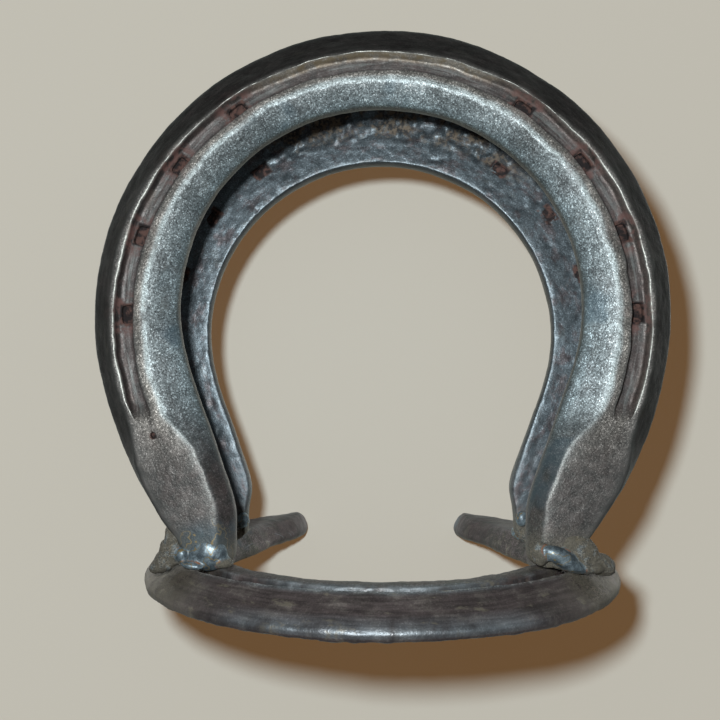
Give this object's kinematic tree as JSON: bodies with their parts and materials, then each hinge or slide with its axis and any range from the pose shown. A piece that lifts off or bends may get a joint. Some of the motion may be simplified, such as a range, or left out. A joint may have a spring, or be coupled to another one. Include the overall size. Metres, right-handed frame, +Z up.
{
  "type": "horseshoe",
  "caption": "Free-standing holder welded from steel horseshoes: a flat shoe as the base and upright shoes across its branches, with an open slot between them.",
  "frame": {"origin": "centre of the bounding box of the whole holder, on the surface that the base shoe lies on", "axes": "+Z up; the base shoe's toe points to -Y and the front shoe's ground face looks to -Y; +X to the right seen from the front; +Y to the base shoe's heels"},
  "size_m": [0.1276, 0.1124, 0.127],
  "materials": {
    "base_steel": "dark forged steel, dusty and lightly scuffed",
    "front_steel": "worn bright forged steel with dark outer flank",
    "rear_steel": "bluish forged steel with a rusty crust at the toe",
    "weld": "bright weld metal with rust and spatter"
  },
  "bodies": {
    "root": {"base_shoe": "base_steel", "front_shoe": "front_steel", "rear_shoe": "rear_steel", "weld_front_left_outer": "weld", "weld_front_left_slot": "weld", "weld_front_right_outer": "weld", "weld_front_right_slot": "weld", "weld_rear_left_outer": "weld", "weld_rear_left_slot": "weld", "weld_rear_right_outer": "weld", "weld_rear_right_slot": "weld"}
  },
  "joints": []
}
